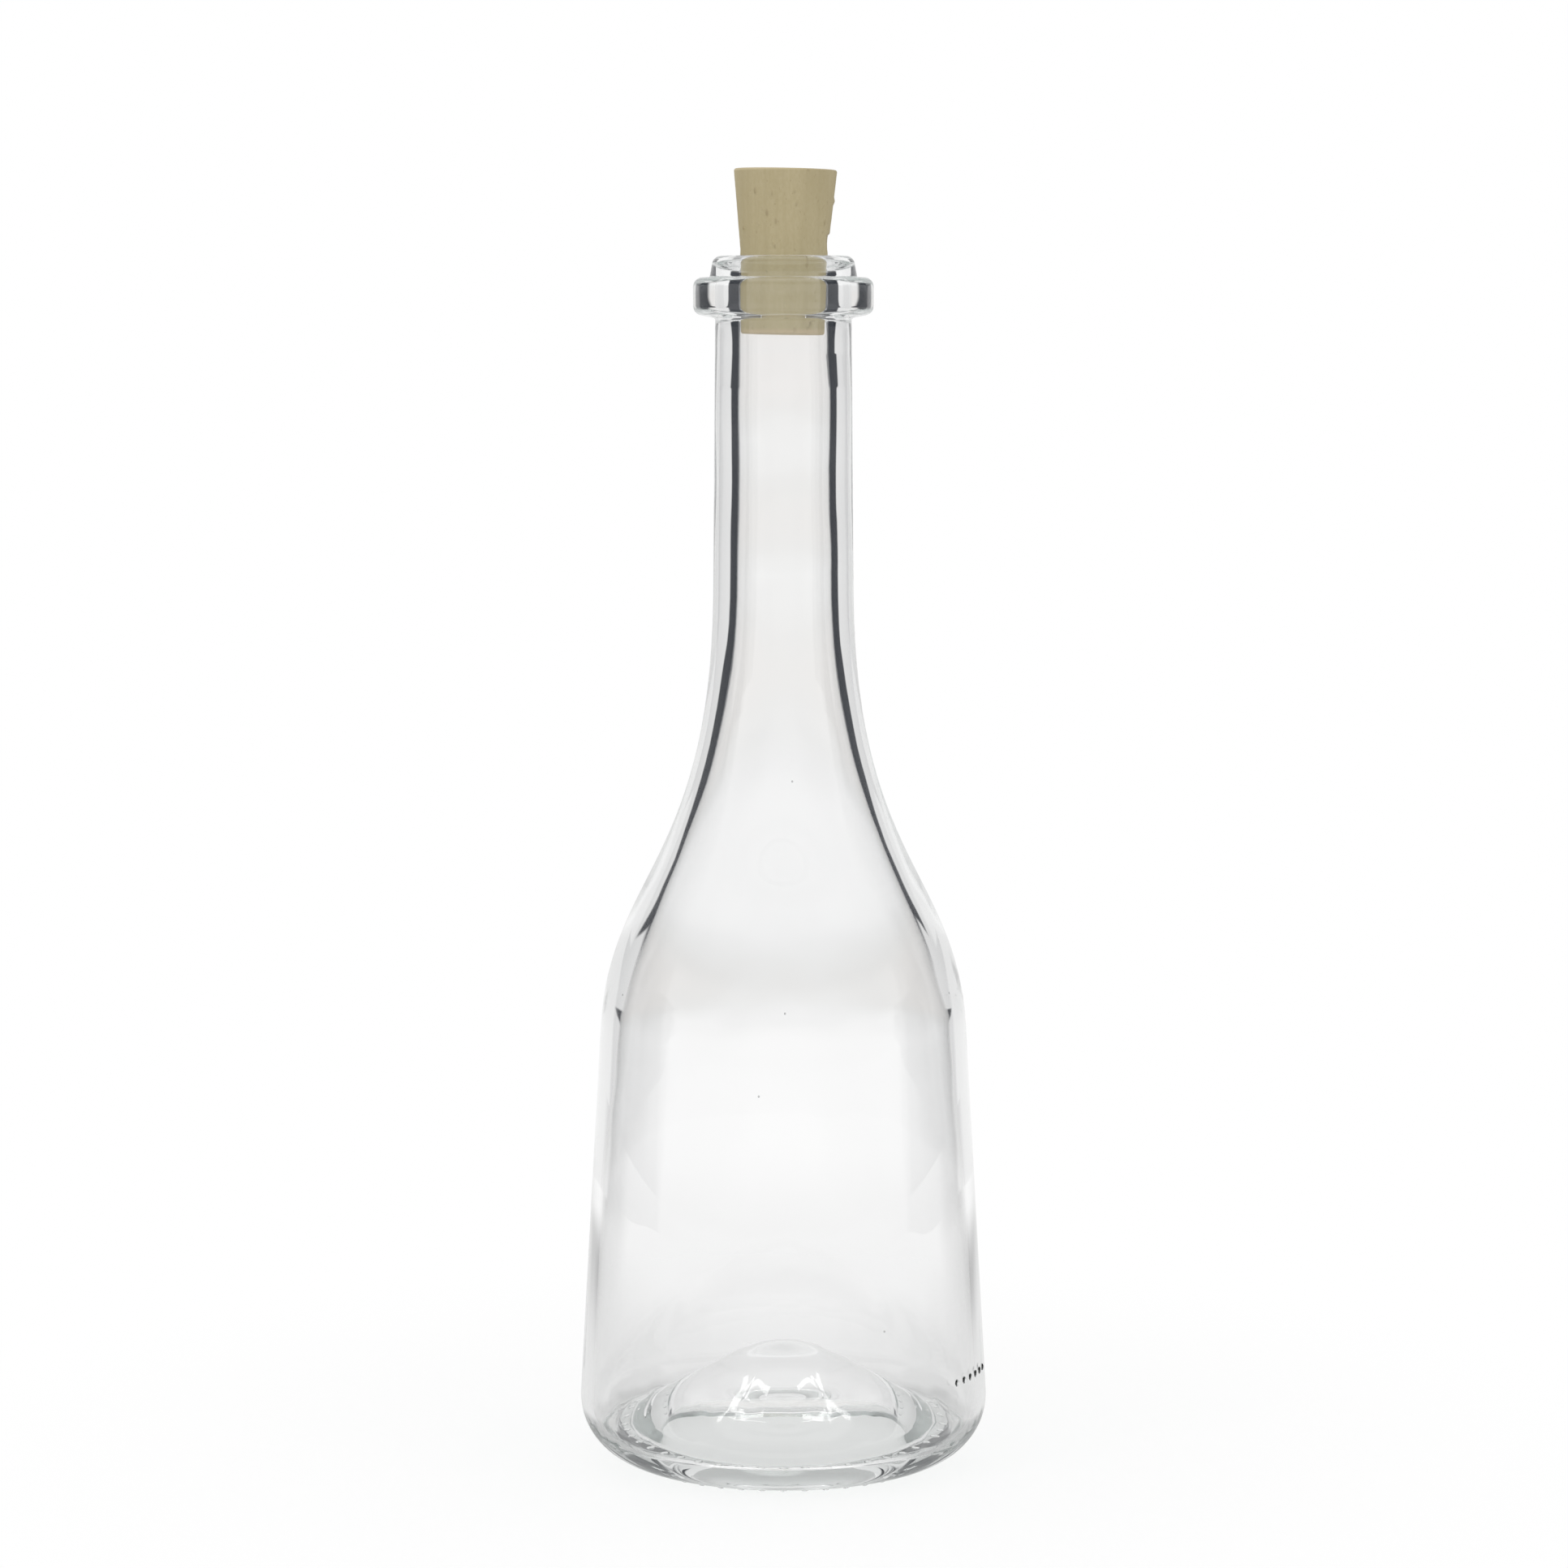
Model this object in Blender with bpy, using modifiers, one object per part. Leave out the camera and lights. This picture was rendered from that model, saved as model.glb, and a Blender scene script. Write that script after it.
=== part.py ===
"""A clear glass bottle with a cork mouth, and the tapered natural cork that closes it.

Metres, +Z up. The origin is the centre of the base, on the surface that the bottle stands on.
The bottle is a turned glass shell, open at the mouth: a lip, a collar, a long neck, a sweeping
shoulder, a body that widens a little towards its heel, and a base pushed up into a dome, with
thick glass in its heel. It stands on a ring of small pads, and one side of its heel carries a
row of raised dots.
The cork is a turned piece that seats in the mouth and slides out along +Z.
"""

import math

import bmesh
import bpy
from mathutils import Matrix, Vector

mm = 0.001

# Outside of the glass
bottle_height = 252.4 * mm
body_diameter = 85.7 * mm
shoulder_diameter = 76.7 * mm
shoulder_height = 91.8 * mm
neck_foot_diameter = 29.2 * mm
neck_foot_height = 183.0 * mm
neck_top_diameter = 28.2 * mm
shoulder_handle_shares = (0.62, 0.356)

# The mouth: a flared lip over a wide collar
lip_height = 4.4 * mm
lip_top_diameter = 28.9 * mm
lip_foot_diameter = 30.5 * mm
lip_round = 1.8 * mm
lip_foot_round = 0.4 * mm
collar_diameter = 37.3 * mm
collar_height = 7.4 * mm
collar_round = 1.9 * mm
collar_under_drop = 1.0 * mm
collar_foot_round = 0.6 * mm

# Inside of the glass
bore_diameter = 18.5 * mm
bore_depth = 20.0 * mm
bore_end_length = 7.0 * mm
mouth_round = 0.8 * mm
neck_wall = 4.8 * mm
shoulder_wall = 3.8 * mm
belly_wall = 2.2 * mm
belly_height = 58.0 * mm
body_wall = 2.2 * mm
inner_sweep_rise = 4.0 * mm
inner_handle_shares = (0.54, 0.2)

# The base: a rounded heel, a ring to stand on and a punt pushed up in the middle
heel_round = 13.4 * mm
ring_inner_diameter = 57.0 * mm
ring_inner_round = 1.5 * mm
punt_height = 14.5 * mm
punt_handle_shares = (0.1, 0.55, 0.45)

# Inside the base: a bell-shaped dome, whose flank meets the wall in a tight corner
dome_height = 24.4 * mm
dome_crown = 9.0 * mm
flank_slope_share = 0.505
flank_length = 5.0 * mm
flank_handle_length = 10.5 * mm
flank_bend_round = 150.0 * mm
foot_slope_share = 0.44
foot_length = 5.0 * mm
inner_heel_diameter = 76.6 * mm
inner_heel_height = 7.0 * mm
inner_heel_round = 1.0 * mm
wall_foot_height = 10.3 * mm
wall_foot_round = 10.0 * mm

# Small pads where the heel meets the ring, and a row of dots above the heel
pad_count = 44
pad_ring_diameter = 61.6 * mm
pad_height = 0.3 * mm
pad_width = 2.0 * mm
pad_length = 2.6 * mm
pad_foot_share = 0.55
pad_sink = 0.6 * mm
dot_count = 6
dot_diameter = 1.5 * mm
dot_pitch = 3.15 * mm
dot_height = 20.8 * mm
dot_proud = 0.35 * mm
dot_row_start = math.radians(-32.3)

# The cork, squeezed a little where it passes the mouth
cork_length = 33.7 * mm
cork_inserted = 15.75 * mm
cork_top_diameter = 21.4 * mm
cork_bottom_diameter = 17.3 * mm
cork_clearance = 0.2 * mm
cork_squeeze_height = 1.5 * mm
cork_edge_round = 0.5 * mm

# How finely round shapes are divided
turn_steps = 48
chord_gap = 0.08 * mm
curve_steps = 9
bump_sides = 6
merge_distance = 0.01 * mm


def rounded(corners):
    """Return an outline's points, with an arc in place of each corner.

    A corner is (radius from the axis, height, round). Where two rounds would meet along an
    edge, both shrink to share it. An arc has as many steps as keep it within the chord gap.
    """
    points = [Vector((c[0], c[1])) for c in corners]
    turns = [0.0]
    for before, here, after in zip(points, points[1:], points[2:]):
        turns.append((here - before).angle(after - here))
    turns.append(0.0)
    reaches = [c[2] * math.tan(turn / 2) for c, turn in zip(corners, turns)]
    fits = []
    for start, end, reach, next_reach in zip(points, points[1:], reaches, reaches[1:]):
        fits.append((end - start).length / max(reach + next_reach, (end - start).length))
    fits = [fits[0]] + fits + [fits[-1]]

    outline = []
    for i, (point, reach, turn) in enumerate(zip(points, reaches, turns)):
        reach *= min(fits[i], fits[i + 1])
        if not reach:
            outline.append(point)
            continue
        back = (points[i - 1] - point).normalized()
        onward = (points[i + 1] - point).normalized()
        centre = point + (back + onward).normalized() * reach / math.sin(turn / 2)
        spoke = point + back * reach - centre
        side = math.copysign(1.0, back.cross(onward))
        widest_step = 2 * math.acos(1 - min(chord_gap / corners[i][2], 1))
        steps = max(2, math.ceil(turn / widest_step))
        for step in range(steps + 1):
            angle = -side * turn * step / steps
            outline.append(centre + Matrix.Rotation(angle, 2) @ spoke)
    return outline


def curved(start, start_handle, end_handle, end, steps):
    """Return the points of a cubic curve, without its two ends."""
    inner = []
    for step in range(1, steps):
        t = step / steps
        s = 1 - t
        inner.append(start * s**3 + start_handle * 3 * s * s * t + end_handle * 3 * s * t * t + end * t**3)
    return inner


def body_slope():
    """Return how much the body's radius shrinks for each metre of height."""
    rise = shoulder_height - heel_round
    return (body_diameter - shoulder_diameter) / 2 / rise


def neck_slope():
    """Return how much the neck's radius shrinks for each metre of height."""
    rise = bottle_height - lip_height - collar_height - neck_foot_height
    return (neck_foot_diameter - neck_top_diameter) / 2 / rise


def body_radius(height):
    return shoulder_diameter / 2 + body_slope() * (shoulder_height - height)


def neck_radius(height):
    return neck_foot_diameter / 2 - neck_slope() * (height - neck_foot_height)


def shoulder(neck_point, body_point, handle_shares):
    """Return the sweep from the neck down to the body, tangent to both."""
    drop = neck_point.y - body_point.y
    neck_handle = neck_point + Vector((neck_slope(), -1)) * drop * handle_shares[0]
    body_handle = body_point + Vector((-body_slope(), 1)) * drop * handle_shares[1]
    return curved(neck_point, neck_handle, body_handle, body_point, curve_steps)


def inner_outline():
    """Return the inside, from the top of the dome out, round the heel and up to the mouth."""
    top = Vector((0, dome_height))
    top_handle = top + Vector((dome_crown, 0))
    foot = Vector((inner_heel_diameter / 2, inner_heel_height))
    bend = foot + Vector((-1, foot_slope_share)) * foot_length
    uphill = Vector((-1, flank_slope_share))
    flank_top = bend + uphill * flank_length
    flank_handle = flank_top + uphill * flank_handle_length
    dome = [top] + curved(top, top_handle, flank_handle, flank_top, curve_steps)

    shoulder_point = Vector((body_radius(shoulder_height) - shoulder_wall, shoulder_height))
    sweep_height = neck_foot_height + inner_sweep_rise
    neck_point = Vector((neck_radius(sweep_height) - neck_wall, sweep_height))
    heel = rounded([
        (flank_top.x, flank_top.y, 0),
        (bend.x, bend.y, flank_bend_round),
        (foot.x, foot.y, inner_heel_round),
        (body_radius(wall_foot_height) - body_wall, wall_foot_height, wall_foot_round),
        (body_radius(belly_height) - belly_wall, belly_height, 0),
        (shoulder_point.x, shoulder_point.y, 0),
    ])
    sweep = shoulder(neck_point, shoulder_point, inner_handle_shares)

    bore_end = bottle_height - bore_depth
    neck_end = bore_end - bore_end_length
    bore = [
        Vector((neck_radius(neck_end) - neck_wall, neck_end)),
        Vector((bore_diameter / 2, bore_end)),
    ]
    return dome + heel + sweep[::-1] + [neck_point] + bore


def outer_outline():
    """Return the outside, from the mouth down over the lip to the middle of the base."""
    collar_top = bottle_height - lip_height
    collar_bottom = collar_top - collar_height
    collar_radius = collar_diameter / 2
    under_collar = collar_bottom - collar_under_drop
    neck_point = Vector((neck_foot_diameter / 2, neck_foot_height))
    shoulder_point = Vector((shoulder_diameter / 2, shoulder_height))
    mouth = rounded([
        (bore_diameter / 2, bottle_height - bore_depth / 2, 0),
        (bore_diameter / 2, bottle_height, mouth_round),
        (lip_top_diameter / 2, bottle_height, lip_round),
        (lip_foot_diameter / 2, collar_top, lip_foot_round),
        (collar_radius, collar_top, collar_round),
        (collar_radius, collar_bottom, collar_round),
        (neck_radius(under_collar), under_collar, collar_foot_round),
        (neck_point.x, neck_point.y, 0),
    ])
    sweep = shoulder(neck_point, shoulder_point, shoulder_handle_shares)

    ring_height = pad_height
    ring_inner = ring_inner_diameter / 2
    ring_edge = Vector((ring_inner, ring_height))
    punt_top = Vector((0, punt_height))
    punt_rise = punt_height - ring_height
    first_handle = ring_edge + Vector((-ring_inner * punt_handle_shares[0], punt_rise * punt_handle_shares[1]))
    last_handle = punt_top + Vector((ring_inner * punt_handle_shares[2], 0))
    punt = curved(ring_edge, first_handle, last_handle, punt_top, curve_steps)
    above_dots = dot_height + dot_diameter
    below_dots = dot_height - dot_diameter
    body = [shoulder_point, Vector((body_radius(above_dots), above_dots))]
    base = rounded([
        (body_radius(below_dots), below_dots, 0),
        (body_radius(ring_height), ring_height, heel_round),
        (ring_inner, ring_height, ring_inner_round),
        (punt[0].x, punt[0].y, 0),
    ])
    return mouth + sweep + body + base + punt[1:] + [punt_top]


def cork_outline():
    """Return the cork's side, from its top centre down to its bottom centre."""
    top = bottle_height + cork_length - cork_inserted
    bottom = bottle_height - cork_inserted
    mouth_radius = bore_diameter / 2 - cork_clearance
    return rounded([
        (0, top, 0),
        (cork_top_diameter / 2, top, cork_edge_round),
        (mouth_radius, bottle_height + cork_squeeze_height, cork_edge_round),
        (mouth_radius, bottle_height - cork_squeeze_height, cork_edge_round),
        (cork_bottom_diameter / 2, bottom, cork_edge_round),
        (0, bottom, 0),
    ])


def turned(name, outline, collection, material):
    """Turn an outline about +Z, as one object with its material."""
    mesh = bpy.data.meshes.new(name)
    edges = [(i, i + 1) for i in range(len(outline) - 1)]
    mesh.from_pydata([(p.x, 0, p.y) for p in outline], edges, [])
    mesh.materials.append(material)
    obj = bpy.data.objects.new(name, mesh)
    collection.objects.link(obj)
    screw = obj.modifiers.new("turn", "SCREW")
    screw.axis = "Z"
    screw.angle = math.tau
    screw.steps = turn_steps
    screw.render_steps = turn_steps
    screw.use_merge_vertices = True
    screw.merge_threshold = merge_distance
    screw.use_smooth_shade = True
    return obj


def pad_ring(collection):
    """Return the ring of pads that the bottle stands on, as one object of separate solids."""
    depth = pad_height + pad_sink
    bm = bmesh.new()
    for i in range(pad_count):
        around = Matrix.Rotation(math.tau * i / pad_count, 4, "Z")
        place = Matrix.Translation((pad_ring_diameter / 2, 0, depth / 2))
        size = Matrix.Diagonal((pad_length, pad_width, depth, 1))
        bmesh.ops.create_cone(
            bm, cap_ends=True, segments=bump_sides,
            radius1=pad_foot_share / 2, radius2=1 / 2, depth=1,
            matrix=around @ place @ size,
        )
    return shaping_solid("ring_pads", bm, collection)


def dot_row(collection):
    """Return the row of dots on the heel, as one object of separate solids."""
    wall = body_radius(dot_height)
    radius = dot_diameter / 2
    bm = bmesh.new()
    for i in range(dot_count):
        around = Matrix.Rotation(dot_row_start + i * dot_pitch / wall, 4, "Z")
        place = Matrix.Translation((wall, 0, dot_height))
        size = Matrix.Diagonal((dot_proud, radius, radius, 1))
        bmesh.ops.create_uvsphere(
            bm, u_segments=bump_sides, v_segments=bump_sides - 2, radius=1,
            matrix=around @ place @ size,
        )
    return shaping_solid("heel_dots", bm, collection)


def shaping_solid(name, bm, collection):
    mesh = bpy.data.meshes.new(name)
    bm.to_mesh(mesh)
    bm.free()
    obj = bpy.data.objects.new(name, mesh)
    obj.hide_render = True
    obj.display_type = "WIRE"
    collection.objects.link(obj)
    return obj


def join(obj, added):
    """Fuse a shaping solid to a part of the object."""
    union = obj.modifiers.new(added.name, "BOOLEAN")
    union.operation = "UNION"
    union.solver = "EXACT"
    union.object = added


def principled(name, colour, roughness, transmission=0.0, ior=1.45):
    material = bpy.data.materials.new(name)
    material.use_nodes = True
    shader = material.node_tree.nodes["Principled BSDF"]
    shader.inputs["Base Color"].default_value = (*colour, 1.0)
    shader.inputs["Roughness"].default_value = roughness
    shader.inputs["Metallic"].default_value = 0.0
    shader.inputs["Transmission Weight"].default_value = transmission
    shader.inputs["IOR"].default_value = ior
    return material


def new_collection(name):
    collection = bpy.data.collections.new(name)
    bpy.context.scene.collection.children.link(collection)
    return collection


def main():
    for obj in list(bpy.data.objects):
        bpy.data.objects.remove(obj)

    parts = new_collection("corked_bottle")
    shaping = new_collection("shaping_solids")
    glass = principled("clear_glass", (0.93, 0.95, 0.94), 0.02, transmission=1.0, ior=1.52)
    cork = principled("natural_cork", (0.42, 0.36, 0.21), 0.85)

    bottle = turned("glass_bottle", inner_outline() + outer_outline(), parts, glass)
    join(bottle, pad_ring(shaping))
    join(bottle, dot_row(shaping))
    turned("cork_stopper", cork_outline(), parts, cork)


main()
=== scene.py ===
# %% [markdown]
# # A corked glass bottle
#
# The object is a clear, turned glass bottle that is closed with a tapered natural cork. Its
# solids are already packed as a fixed frame: they say where the glass and the cork are, and
# which body each rides on. This lesson dresses that frame. The glass becomes a fine closed
# shell with real walls, because clear glass shows its inside as much as its outside, and the
# cork gets its pores, its chips and its grain. Everything is in metres, with +Z up.

# %% Load the frame
import math

import bmesh
import bpy
from mathutils import Matrix, Vector, noise


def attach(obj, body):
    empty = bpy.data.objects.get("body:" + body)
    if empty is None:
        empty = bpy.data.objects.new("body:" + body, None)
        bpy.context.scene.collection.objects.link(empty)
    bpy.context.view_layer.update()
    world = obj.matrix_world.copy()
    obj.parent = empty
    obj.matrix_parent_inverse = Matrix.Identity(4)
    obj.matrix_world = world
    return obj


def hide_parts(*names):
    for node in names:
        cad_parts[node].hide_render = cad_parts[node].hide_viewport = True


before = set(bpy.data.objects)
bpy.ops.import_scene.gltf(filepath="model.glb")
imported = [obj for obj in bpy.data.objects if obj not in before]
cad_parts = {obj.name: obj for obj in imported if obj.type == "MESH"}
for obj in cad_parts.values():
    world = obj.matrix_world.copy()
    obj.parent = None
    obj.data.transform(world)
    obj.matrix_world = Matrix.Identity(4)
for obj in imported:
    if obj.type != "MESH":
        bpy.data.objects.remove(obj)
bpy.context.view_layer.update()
scene = bpy.context.scene
mm = 0.001

# %% [markdown]
# ## The camera
#
# The bottle was photographed from about a metre away with a long lens, from a little above
# its shoulder, so its sides stay nearly parallel and its base shows as a shallow ellipse. The
# camera could be aimed by eye, but three measures fix it: the row of the horizon gives the
# tilt, the base's ellipse gives the eye height, and the bottle's height gives the distance.
# Thick glass passes light back and forth many times before it lets go of it, so the number of
# bounces goes up too. With too few, the heel turns black.

# %% Set up the camera
camera_data = bpy.data.cameras.new("camera")
camera_data.sensor_width = 36.0
camera_data.lens = 103.02
camera_data.clip_end = 20.0
camera = bpy.data.objects.new("camera", camera_data)
camera.location = (0.12 * mm, -932.2 * mm, 238.3 * mm)
camera.rotation_euler = (math.radians(84.155), 0, 0)
scene.collection.objects.link(camera)
scene.camera = camera
scene.view_settings.view_transform = "Standard"
light_bounces = 96
scene.cycles.max_bounces = light_bounces
scene.cycles.glossy_bounces = light_bounces
scene.cycles.transmission_bounces = light_bounces
print("eye height", round(camera.location.z, 4), "m, lens", camera_data.lens, "mm")

# %% [markdown]
# ## Small helpers for node trees
#
# Light, glass and cork are all described by node trees. A Math node takes four lines to make,
# so it gets a helper, and so does a smooth step from one value to another.


# %% Helpers for nodes
def calc(tree, operation, *values, clamp=False):
    """Add a Math node and return its output. A value is a number or another output."""
    node = tree.nodes.new("ShaderNodeMath")
    node.operation = operation
    node.use_clamp = clamp
    for socket, value in zip(node.inputs, values):
        if isinstance(value, (int, float)):
            socket.default_value = value
        else:
            tree.links.new(value, socket)
    return node.outputs[0]


def fade(tree, value, start, end, low=0.0, high=1.0):
    """Return a smooth step from low to high, as value goes from start to end."""
    node = tree.nodes.new("ShaderNodeMapRange")
    node.interpolation_type = "SMOOTHSTEP"
    tree.links.new(value, node.inputs["Value"])
    limits = {"From Min": start, "From Max": end, "To Min": low, "To Max": high}
    for name, number in limits.items():
        node.inputs[name].default_value = number
    return node.outputs["Result"]


def blend_colours(tree, factor, first, second):
    """Mix two colours. Each is a tuple of three numbers or another output."""
    node = tree.nodes.new("ShaderNodeMix")
    node.data_type = "RGBA"
    tree.links.new(factor, node.inputs["Factor"])
    for name, colour in (("A", first), ("B", second)):
        socket = next(s for s in node.inputs if s.name == name and s.type == "RGBA")
        if isinstance(colour, tuple):
            socket.default_value = (*colour, 1)
        else:
            tree.links.new(colour, socket)
    return next(s for s in node.outputs if s.type == "RGBA")


# %% [markdown]
# ## The studio
#
# Clear glass has almost no colour of its own. What draws it is the room: a pale backdrop
# behind it, and dark gaps beside the backdrop that thick glass bends into thin dark lines.
# Panels round the bottle could do this, but they would block other views, so the world does
# it. Rays that passed through glass find a pale backdrop with a dark gap on either side,
# which leans in just above the horizon, so that the lines run on down the shoulder. Rays
# that were mirrored find a dimmer backdrop, a grey room in front, a dim band high up on
# either side, and two bright bars overhead, which draw the arcs on the dome. The camera
# itself sees plain white, and matt surfaces get an even, pale light.

# %% Describe the surroundings
# The dark gaps: angles away from straight back, heights, and how their inner edge leans in.
# Mirrored rays find them wider and higher.
dark_from, dark_to, dark_to_mirrored = math.radians(45), math.radians(73), math.radians(98)
dark_low, dark_high, dark_high_mirrored = math.radians(-25), math.radians(12), math.radians(22)
lean_in, lean_top, lean_end = math.radians(15), math.radians(10), math.radians(8.2)
side_edge, level_edge = math.radians(2.5), math.radians(4)
dark_colour = (0.028, 0.032, 0.040)
# The bars: their corners on a ceiling one unit up, as (to the side, to the back). A ray that
# climbs less than bar_lowest is taken to climb that much.
bar_corners = (0.335, 0.53), (0.295, 0.395), (0.18, 0.335)
bar_half_width, bar_edge = 0.013, 0.006
bar_lowest = 0.05
bar_light = (6.5, 6.5, 6.5)
white = (1.0, 1.0, 1.0)
plain_light = (0.85, 0.85, 0.85)


def window(tree, value, low, high, edge):
    """Return 1 where value lies between low and high, fading out over edge on both sides."""
    rise = fade(tree, value, low - edge, low + edge)
    fall = fade(tree, value, high - edge, high + edge, 1.0, 0.0)
    return calc(tree, "MULTIPLY", rise, fall)


def met_glass(tree, path):
    """Return 1 for a ray that glass has just bent or mirrored."""
    return calc(
        tree, "MAXIMUM", path.outputs["Is Glossy Ray"], path.outputs["Is Transmission Ray"]
    )


def was_mirrored(tree, path):
    """Return 1 for a ray that glass has mirrored at least once."""
    return calc(tree, "GREATER_THAN", path.outputs["Glossy Depth"], 0.5)


def off_back(tree, x, y):
    """Return the angle between a direction and straight back, the same for both sides."""
    return calc(tree, "ARCTAN2", calc(tree, "ABSOLUTE", x), y)


def dark_gaps(tree, across, elevation, far_side, high):
    """Return 1 inside the dark gaps beside the backdrop, which lean in above the horizon."""
    lean = calc(
        tree, "MULTIPLY",
        fade(tree, elevation, 0.0, lean_top, 0.0, lean_in),
        fade(tree, elevation, lean_end - side_edge, lean_end, 1.0, 0.0),
    )
    leaning = calc(tree, "ADD", across, lean)
    sides = calc(
        tree, "MULTIPLY",
        fade(tree, leaning, dark_from - side_edge, dark_from + side_edge),
        fade(tree, across, far_side - side_edge, far_side + side_edge, 1.0, 0.0),
    )
    return calc(tree, "MULTIPLY", sides, window(tree, elevation, dark_low, high, level_edge))


def overhead_bars(tree, x, y, z):
    """Return 1 in a bent bar on the ceiling, and in its twin mirrored to the other side."""
    height = calc(tree, "MAXIMUM", z, bar_lowest)
    across = calc(tree, "DIVIDE", calc(tree, "ABSOLUTE", x), height)
    back = calc(tree, "DIVIDE", y, height)
    lit = 0.0
    for start, end in zip(bar_corners[:-1], bar_corners[1:]):
        along = Vector(end) - Vector(start)
        length = along.length
        along.normalize()
        right = calc(tree, "SUBTRACT", across, start[0])
        up = calc(tree, "SUBTRACT", back, start[1])
        reach = calc(
            tree, "ADD",
            calc(tree, "MULTIPLY", right, along.x), calc(tree, "MULTIPLY", up, along.y),
        )
        aside = calc(
            tree, "SUBTRACT",
            calc(tree, "MULTIPLY", right, along.y), calc(tree, "MULTIPLY", up, along.x),
        )
        part = calc(
            tree, "MULTIPLY",
            window(tree, reach, 0, length, bar_edge),
            window(tree, aside, -bar_half_width, bar_half_width, bar_edge),
        )
        lit = calc(tree, "MAXIMUM", lit, part)
    return lit


def colour_by_height(tree, elevation, stops):
    """Return a colour that changes with the elevation. A stop is (degrees, colour)."""
    node = tree.nodes.new("ShaderNodeValToRGB")
    ramp = node.color_ramp
    while len(ramp.elements) < len(stops):
        ramp.elements.new(0.5)
    for element, (degrees, colour) in zip(ramp.elements, stops):
        element.position = (degrees + 90) / 180
        element.color = (*colour, 1)
    share = calc(tree, "ADD", calc(tree, "DIVIDE", elevation, math.pi), 0.5)
    tree.links.new(share, node.inputs["Fac"])
    return node.outputs["Color"]


# What a ray finds at each height, in degrees: behind the bottle when it passed through glass
# and when it was mirrored, and in the room in front.
backdrop = (
    (-10, (1.0, 1.0, 1.0)),
    (-8, (1.0, 1.0, 1.0)),
    (-7, (0.99, 0.99, 0.99)),
    (-6, (0.98, 0.98, 0.98)),
    (-4.9, (0.94, 0.94, 0.94)),
    (-3.6, (0.90, 0.90, 0.895)),
    (-2, (0.865, 0.86, 0.85)),
    (0, (0.875, 0.86, 0.845)),
    (25, (0.94, 0.93, 0.92)),
    (45, (1.0, 1.0, 1.0)),
)
backdrop_mirrored = (
    (-8, (1.0, 1.0, 1.0)),
    (-5, (0.83, 0.83, 0.83)),
    (7, (0.78, 0.78, 0.78)),
    (15, (0.80, 0.80, 0.80)),
    (27, (0.90, 0.90, 0.90)),
    (42, (1.0, 1.0, 1.0)),
)
room = (
    (-3.4, (1.0, 1.0, 1.0)),
    (-2.4, (0.72, 0.71, 0.70)),
    (15, (0.63, 0.62, 0.61)),
    (55, (0.42, 0.42, 0.42)),
    (72, (0.90, 0.90, 0.90)),
)
front_fade = (-0.25, -0.45)
dim_from, dim_low, dim_high = math.radians(45), math.radians(21), math.radians(51)
dim_colour = (0.13, 0.135, 0.14)

world = bpy.data.worlds.new("studio")
world.use_nodes = True
scene.world = world
tree = world.node_tree
tree.nodes.clear()
direction = tree.nodes.new("ShaderNodeSeparateXYZ")
tree.links.new(tree.nodes.new("ShaderNodeTexCoord").outputs["Generated"], direction.inputs[0])
x, y, z = direction.outputs
across = off_back(tree, x, y)
elevation = calc(tree, "ARCSINE", z)
through = blend_colours(
    tree, dark_gaps(tree, across, elevation, dark_to, dark_high),
    colour_by_height(tree, elevation, backdrop), dark_colour,
)
mirrored = blend_colours(
    tree, fade(tree, y, *front_fade),
    colour_by_height(tree, elevation, backdrop_mirrored), colour_by_height(tree, elevation, room),
)
mirrored = blend_colours(
    tree, dark_gaps(tree, across, elevation, dark_to_mirrored, dark_high_mirrored),
    mirrored, dark_colour,
)
dim = calc(
    tree, "MULTIPLY",
    fade(tree, across, dim_from - side_edge, dim_from + side_edge),
    window(tree, elevation, dim_low, dim_high, level_edge),
)
mirrored = blend_colours(tree, dim, mirrored, dim_colour)
mirrored = blend_colours(tree, overhead_bars(tree, x, y, z), mirrored, bar_light)
path = tree.nodes.new("ShaderNodeLightPath")
seen_by_glass = blend_colours(tree, was_mirrored(tree, path), through, mirrored)
colour = blend_colours(tree, met_glass(tree, path), plain_light, seen_by_glass)
colour = blend_colours(tree, path.outputs["Is Camera Ray"], colour, white)
background = tree.nodes.new("ShaderNodeBackground")
tree.links.new(colour, background.inputs["Color"])
tree.links.new(background.outputs[0], tree.nodes.new("ShaderNodeOutputWorld").inputs["Surface"])
print("world nodes:", len(tree.nodes))

# %% [markdown]
# ## The floor
#
# The bottle stands on a pale table. Its size matters, because the glass mirrors it: low
# on the bottle even a sideways ray meets the table, and higher up it passes over the edge.
# Near the bottle a part of its white is lit, so that it takes the soft shadow. Further out
# it shines by itself, so its edge can't be told from the white world. To the glass, that glow
# has painted shade in it: darker near the bottle and in a ring round the heel, and lighter
# further out. What the glass mirrors of the table gets a little more painted shade on either
# side, and painted shade runs on from the dark gaps over it, so that no edge shows in the
# glass where the table ends.

# %% Make the floor
floor_radius, floor_sides = 600 * mm, 96
floor_drop = 0.05 * mm
# Each fade: where it starts and ends, and its value at the start and at the end.
own_light_fade = (60 * mm, 210 * mm, 0.6, 1.0)
# The glow that the glass sees of the table: painted shade near the bottle, painted light further
# out.
near_painted_shade_fade = (20 * mm, 170 * mm, 0.66, 0.90)
far_painted_light_fade = (130 * mm, 520 * mm, 0.0, 0.10)
# Painted shade on either side of the table, in what the glass mirrors of it.
painted_side_shade_fade = (60 * mm, 170 * mm, 0.06, 0.40)
painted_side_shade_end = (240 * mm, 420 * mm, 1.0, 0.0)
# Painted shade where the dark gaps run out over the table.
painted_gap_shade_fade = (180 * mm, 560 * mm, 0.0, 0.9)
# A faint painted shadow on the table round the heel: from, to, edge, and its strength.
ring_shade_window, ring_shade = (37 * mm, 60 * mm, 6 * mm), 0.3
least_tint = 0.05

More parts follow.
